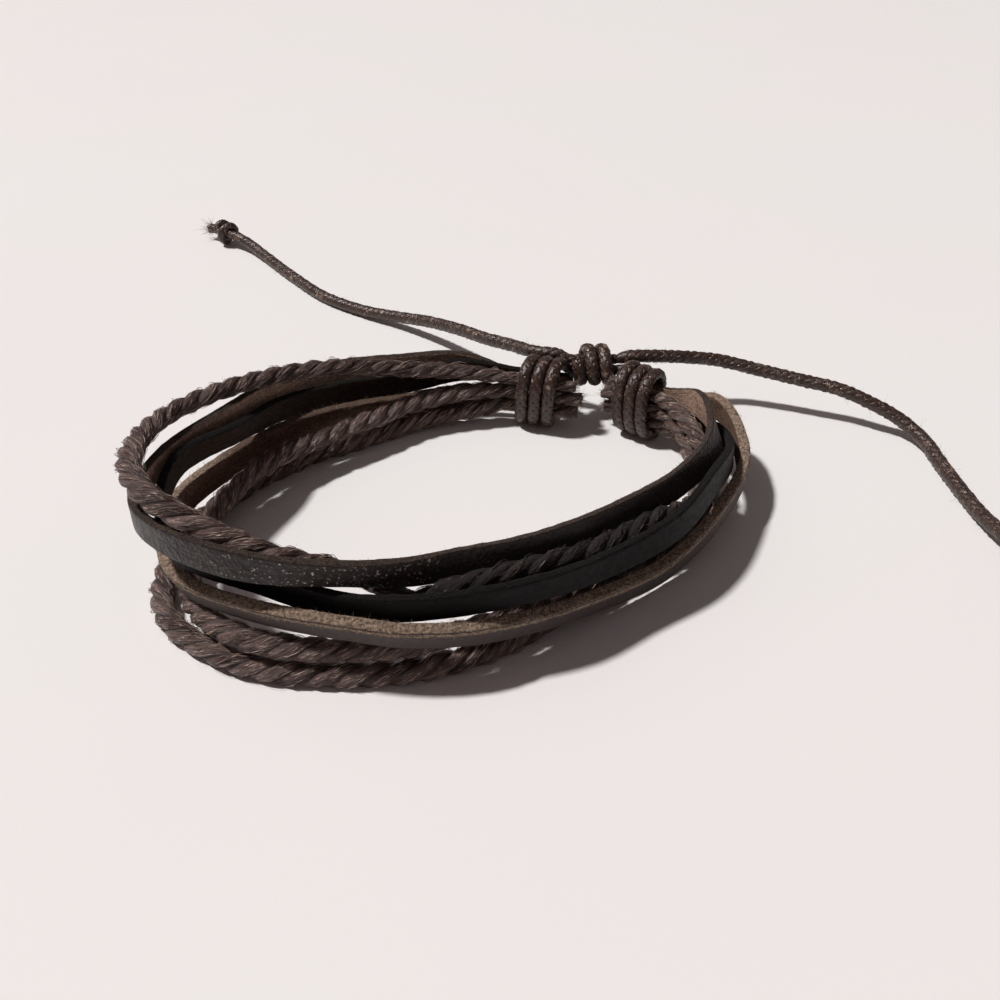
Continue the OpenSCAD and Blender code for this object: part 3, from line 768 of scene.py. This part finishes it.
def sliding_knot():
    n = math.ceil(KNOT_TURNS * 40)
    rows = []
    c, s = cosd(KNOT_TILT), sind(KNOT_TILT)
    for i in range(n + 1):
        a = math.radians(100 + 360 * KNOT_TURNS * i / n)
        p, q = 2.4 * math.cos(a), 1.6 * math.sin(a)
        rows.append([*(KNOT_MID + np.array([1.9 * KNOT_TURNS * (i / n - 0.5), p * c - q * s, p * s + q * c])), 0.88, 0.62])
    Q = fine(rows, 0.24)
    P = Q[:, :3] + REST
    T, U, W = toward(P, [1, 0, 0])
    pile = Pile()
    braid(pile, P, U, W, Q[:, 3] * 1.08, Q[:, 4] * 1.06, seed=41)
    stray(pile, P, Q[:, 4], 40, 44, 1)
    for V in pile.v:
        on_table(V, 0.03)
    return pile.piece("sliding_knot_braid", [WAXED, WAXED_FUZZ], ["sliding_knot"])


sliding_knot()


# ------------------------------------------------------------------ twisted cords
def twisted(name, node, k, seed, ply_pitch=8.4, tufts=()):
    Q = fine(strand(k), 0.4)
    P = Q[:, :3] + REST
    sq = np.clip(Q[:, 4], 0.7, 1.0)
    s = lengths(P)
    T, U, W = toward(P, [0, 0, 1])
    pile = Pile()
    rng = np.random.default_rng(seed)
    R0 = CORD_D[k - 3] / 2
    if k == 3:
        turn = np.degrees(np.arctan2(P[:, 1], P[:, 0])) % 360
        sq = sq * (1 + 0.2 * smooth((turn - 180) / 22) * smooth((246 - turn) / 20) * (np.abs(s - s.mean()) < s[-1] * 0.4))
    phase = -TAU * s / ply_pitch + 0.35 * noise(s[:, None] * 0.12, seed)
    n = 24
    th = math.pi + TAU * np.arange(n) / n
    for j in range(3):
        ang = phase + TAU * j / 3
        rc = 0.46 * R0 * sq * (1 + 0.06 * noise(s[:, None] * 0.4, seed * 3 + j))
        rp = 0.60 * R0 * sq * (1 + 0.06 * noise(s[:, None] * 0.55, seed * 5 + j))
        N = U * np.cos(ang)[:, None] + W * np.sin(ang)[:, None]
        C = P + N * rc[:, None]
        TT = tangents(C)
        N = unit(N - TT * np.sum(N * TT, 1, keepdims=True))
        B = np.cross(TT, N)
        # yarns: shallow ridges that wind round the ply the other way
        yarn = th[None] - (TAU * s / 7.5)[:, None] + j
        ridge = 0.04 * np.cos(7 * yarn) + 0.06 * noise(np.stack([np.broadcast_to(s[:, None] * 1.1, (len(s), n)), np.cos(th)[None] * 1.8 + 5 * j + 0 * s[:, None], np.sin(th)[None] * 1.8 + 0 * s[:, None]], -1), seed + j)
        rr = rp[:, None] * (1.02 + ridge)
        R = C[:, None] + N[:, None] * (np.cos(th)[None] * rr)[..., None] + B[:, None] * (np.sin(th)[None] * rr)[..., None]
        groove = smooth((np.abs(((th + math.pi) % TAU) - math.pi) - 0.75) / 0.95)
        pile.rings(R, s * 1.08 + 60 * j, th * R0 * 0.6, 0, 0.5 + 0.5 * rng.uniform(-1, 1), groove[None, :])
        # fibres lying along the ply, a few of them lifting off it
        count = 1000
        i = rng.integers(2, len(s) - 10, count)
        a0 = rng.normal(0, 0.62, count)
        seg = 3
        steps = rng.uniform(2.2, 6.0, count)
        t = np.linspace(0, 1, seg + 1)
        idx = np.clip(np.rint(i[:, None] + t[None] * steps[:, None]).astype(int), 0, len(s) - 1)
        aa = a0[:, None] + t[None] * (steps * 0.4 * 0.3 + rng.normal(0, 0.2, count))[:, None]
        off = rr[idx, n // 2] + 0.008 + (rng.uniform(0, 1, count)[:, None] ** 5) * 0.35 * np.sin(t * math.pi)[None] ** 0.7
        F = C[idx] + N[idx] * (np.cos(aa) * off)[..., None] + B[idx] * (np.sin(aa) * off)[..., None]
        ribbon(pile, F, rng.uniform(0.02, 0.045, count), 1, rng.uniform(0, 1, count) ** 2.2)
    stray(pile, P, R0 * sq, 200, seed + 70, 1, (0.4, 1.5), 0.014, 0.5)
    for direction, count, reach in tufts:
        i = int(np.argmin(np.abs((np.degrees(np.arctan2(P[:, 1], P[:, 0])) - direction + 180) % 360 - 180) + 99 * (np.abs(s - s.mean()) > s[-1] * 0.42)))
        out = unit(P[i] * [1, 1, 0] + [0, 0, -4.0])
        root = P[i] + out * R0 * 0.9 + T[i] * rng.normal(0, reach * 0.5, count)[:, None]
        pile.hairs(root, out + rng.normal(0, 0.7, (count, 3)), rng.uniform(0.3, reach, count), 0.028, rng.normal(0, 0.5, (count, 3)), 1,
                   rng.uniform(0.4, 1, count), seg=3)
    frayed_end(pile, P, T, U, W, R0 * sq, seed + 90, 1)
    for V in pile.v:
        on_table(V, 0.03)
    return pile.piece(name, [PLY_TOP if k == 3 else PLY, PLY_FUZZ_TOP if k == 3 else PLY_FUZZ], [node])


def ribbon(pile, F, radius, mat, tint):
    """Thin fibres through given points, three-sided, tapered at both ends."""
    h, m = F.shape[:2]
    T = unit(np.gradient(F, axis=1))
    a = unit(np.cross(T, np.array([0.31, 0.53, 0.79])))
    b = np.cross(T, a)
    t = np.linspace(0, 1, m)
    r = radius[:, None] * (0.35 + 0.65 * np.sin(t * math.pi) ** 0.6)[None]
    ang = TAU * np.arange(3) / 3
    R = F[:, :, None] + (a[:, :, None] * np.cos(ang)[None, None, :, None] + b[:, :, None] * np.sin(ang)[None, None, :, None]) * r[..., None, None]
    base = (np.arange(h) * m * 3)[:, None, None]
    i, j = np.meshgrid(np.arange(m - 1), np.arange(3), indexing="ij")
    q, w = i * 3 + j, i * 3 + (j + 1) % 3
    faces = (np.stack([q, w, w + 3, q + 3], -1).reshape(1, -1, 4) + base).reshape(-1, 4)
    c = np.array([[0, 2, 1], [(m - 1) * 3, (m - 1) * 3 + 1, (m - 1) * 3 + 2]])
    C = (c[None] + base).reshape(-1, 3)
    pile.add(R.reshape(-1, 3), [faces, C], [np.zeros((len(faces), 4, 2)), np.zeros((len(C), 3, 2))], mat,
             np.repeat(np.broadcast_to(tint, (h,)), m * 3), 0.0)


def frayed_end(pile, P, T, U, W, r, seed, mat, count=70, length=(0.3, 1.0)):
    rng = np.random.default_rng(seed)
    for e, out in ((0, -1), (-1, 1)):
        a, q = rng.uniform(0, TAU, count), np.sqrt(rng.uniform(0, 1, count)) * r[e] * 0.92
        side = U[e] * np.cos(a)[:, None] + W[e] * np.sin(a)[:, None]
        root = P[e] + side * q[:, None] - out * T[e] * 0.15
        pile.hairs(root, out * T[e] + side * (q * 0.5)[:, None] + rng.normal(0, 0.25, (count, 3)), rng.uniform(*length, count),
                   0.03, rng.normal(0, 0.35, (count, 3)), mat, rng.uniform(0, 0.8, count), seg=3)


twisted("twisted_cord_top_plies", "twisted_cord_top", 3, 51,
        tufts=((266, 26, 1.5), (268, 20, 0.9), (271, 14, 0.8), (303, 24, 0.8), (311, 60, 1.0), (313, 30, 0.8)))
twisted("twisted_cord_middle_plies", "twisted_cord_middle", 4, 52)
twisted("twisted_cord_bottom_plies", "twisted_cord_bottom", 5, 53)


# ------------------------------------------------------------------ straps
def strap(name, node, k, seed, look, hair_look, wobble=0.03, top_hairs=900, flesh_hairs=900, suede=False):
    Q = fine(strand(k), 0.4)
    P = Q[:, :3] + REST
    s = lengths(P)
    T = tangents(P)
    out = unit(np.cross(T, [0, 0, 1]))
    up = np.cross(out, T)
    lean, sq = np.radians(Q[:, 3]), np.clip(Q[:, 4], 0.7, 1.0)
    d = np.cos(lean)[:, None] * up + np.sin(lean)[:, None] * out
    o = np.cos(lean)[:, None] * out - np.sin(lean)[:, None] * up
    # section: side 0 grain face, 1 cut edges, 2 flesh face; x outwards, y down from the upper edge
    h, w, r = STRAP_T[k] / 2, STRAP_W[k], STRAP_BEVEL
    pts = []
    for x in np.linspace(-(h - r), h - r, 6):
        pts.append((x, 0.03 * (x / h) ** 2, 1.0))
    for a in (25, 50, 72):
        pts.append((h - r + r * sind(a), r - r * cosd(a), 1.0 - a / 90))
    for y in np.linspace(r, w - r, 11):
        pts.append((h, y, max(0.0, 0.9 - (y - r) * 0.85) if suede else 0.0))
    for a in (18, 40, 65):
        pts.append((h - r + r * cosd(a), w - r + r * sind(a), a / 90))
    for x in np.linspace(h - r, -(h - r), 5):
        pts.append((x, w, 1.0))
    for a in (25, 50, 72):
        pts.append((-(h - r) - r * sind(a), w - r + r * cosd(a), 1.0 + a / 90))
    for y in np.linspace(w - r, r, 11):
        pts.append((-h, y, 2.0))
    for a in (18, 40, 65):
        pts.append((-(h - r) - r * cosd(a), r - r * sind(a), 2.0 - a / 90))
    S = np.array(pts)
    n = len(S)
    x = S[None, :, 0] * sq[:, None]
    y = S[None, :, 1] * sq[:, None]
    side = S[:, 2]
    # unevenness: edges waver, faces undulate a little, the raw parts are lumpy
    raw = smooth(side - 0.2)[None]
    grid = np.stack([np.broadcast_to(s[:, None], x.shape), y * 1.0, x * 1.0 + 20 * (side[None] > 1.5)], -1)
    lump = noise(grid * [0.9, 1.4, 1.4], seed) * 0.045 + noise(grid * [2.7, 3.1, 3.1], seed + 1) * 0.03
    slow = noise(s[:, None] * 0.11, seed + 2)[:, None] * wobble * 2
    x = x + (lump * raw + lump * 0.25) * np.sign(S[None, :, 0] + 1e-9) * (np.abs(S[None, :, 0]) > 0.3) + slow
    top = (S[:, 1] < 0.35)[None]
    bottom = (S[:, 1] > w - 0.35)[None]
    edge_lump = noise(grid * [1.6, 0, 1.2], seed + 3) * 0.05 + noise(grid * [4.6, 0, 3.0], seed + 4) * 0.03
    y = y + np.where(top, edge_lump, 0) * (1.3 if suede else 0.6) + np.where(bottom, edge_lump * 0.6, 0)
    R = P[:, None] + o[:, None] * x[..., None] - d[:, None] * y[..., None]
    pile = Pile()
    around = np.concatenate([[0], np.cumsum(np.linalg.norm(np.diff(S[:, :2], axis=0), axis=1))])
    pile.rings(R, s, around, 0, 0.5, side[None])
    # hairs on the raw edge and flesh side
    rng = np.random.default_rng(seed)

    def plant(count, choose, length, radius, lay, tint=(0, 1), near=None):
        i = rng.integers(4, len(s) - 4, count)
        j = rng.choice(np.flatnonzero(choose), count)
        f = rng.uniform(0, 1, count)[:, None]
        g = rng.uniform(0, 1, count)[:, None]
        j2 = np.where(choose[(j + 1) % n], (j + 1) % n, j)
        a = R[i, j] * (1 - f) + R[i + 1, j] * f
        b = R[i, j2] * (1 - f) + R[i + 1, j2] * f
        root = a * (1 - g) + b * g
        nx = np.where(side[j] > 1.5, -1.0, np.where(side[j] < 0.5, 1.0, 0.0))
        ny = np.where((side[j] >= 0.5) & (side[j] <= 1.5), np.where(S[j, 1] < w / 2, 1.0, -1.0), 0.0)
        normal = unit(o[i] * nx[:, None] + d[i] * ny[:, None])
        way = normal + rng.normal(0, lay, (count, 3)) + T[i] * rng.normal(0, lay, count)[:, None]
        pile.hairs(root - normal * 0.02, way, rng.uniform(*length, count), radius * rng.uniform(0.6, 1.3, count),
                   rng.normal(0, 0.45, (count, 3)), 1, rng.uniform(*tint, count), seg=2)

    edge_top = (np.abs(side - 1) < 0.6) & (S[:, 1] < w / 2)
    edge_low = (np.abs(side - 1) < 0.6) & (S[:, 1] > w / 2)
    plant(top_hairs, edge_top, (0.08, 0.5) if suede else (0.06, 0.25), 0.022, 0.8)
    plant(top_hairs // 4, edge_low, (0.06, 0.3), 0.02, 0.8)
    plant(flesh_hairs, side > 1.4, (0.1, 0.45), 0.018, 1.1)
    for V in pile.v:
        on_table(V, 0.03)
    return pile.piece(name, [look, hair_look], [node])


strap("strap_top_leather", "strap_top", 0, 61, TOP_LEATHER, FLESH_FUZZ, top_hairs=900, flesh_hairs=1400)
strap("strap_middle_leather", "strap_middle", 1, 62, MIDDLE_LEATHER, DARK_FUZZ, top_hairs=500, flesh_hairs=500)
strap("strap_bottom_leather", "strap_bottom", 2, 63, BOTTOM_LEATHER, SUEDE_FUZZ, top_hairs=3600, flesh_hairs=1500, suede=True)


# ------------------------------------------------------------------ table and light
def table_top():
    k = Look("table_matte")
    soft = k.noise(k.place, 0.012, 2, 0.5)
    colour = k.mix(k.ramp(soft, 0.3, 0.7), srgb(238, 238, 236), srgb(239, 236, 235))
    me = bpy.data.meshes.new("table")
    e = 1.5
    me.from_pydata([(-e, -e, 0), (e, -e, 0), (e, e, 0), (-e, e, 0)], [], [(0, 1, 2, 3)])
    me.uv_layers.new(name="strand_mm")
    me.materials.append(k.finish(colour, 0.7, None, Specular_IOR_Level=0.2))
    ob = bpy.data.objects.new("table", me)
    scene.collection.objects.link(ob)


table_top()


def aimed(ob, way):
    """Turns a light so that it shines along the given direction."""
    from mathutils import Vector
    ob.rotation_euler = Vector(way).to_track_quat("-Z", "Y").to_euler()


key = bpy.data.lights.new("key", "SUN")
key.energy = 3.08
key.angle = math.radians(5)
key.color = (1.0, 0.972, 0.96)
key_ob = bpy.data.objects.new("key", key)
scene.collection.objects.link(key_ob)
aimed(key_ob, (0.99, -0.14, -1.66))

soft = bpy.data.lights.new("softbox", "AREA")
soft.shape = "DISK"
soft.size = 0.42
soft.energy = 0.3
soft.color = (1.0, 0.9, 0.88)
soft_ob = bpy.data.objects.new("softbox", soft)
scene.collection.objects.link(soft_ob)
soft_ob.location = (-0.42, 0.20, 0.52)
aimed(soft_ob, (0.42, -0.20, -0.52))

world = bpy.data.worlds.new("studio")
scene.world = world
world.use_nodes = True
world.node_tree.nodes["Background"].inputs["Color"].default_value = (1.0, 0.82, 0.83, 1)
world.node_tree.nodes["Background"].inputs["Strength"].default_value = 0.12
scene.view_settings.view_transform = "Standard"
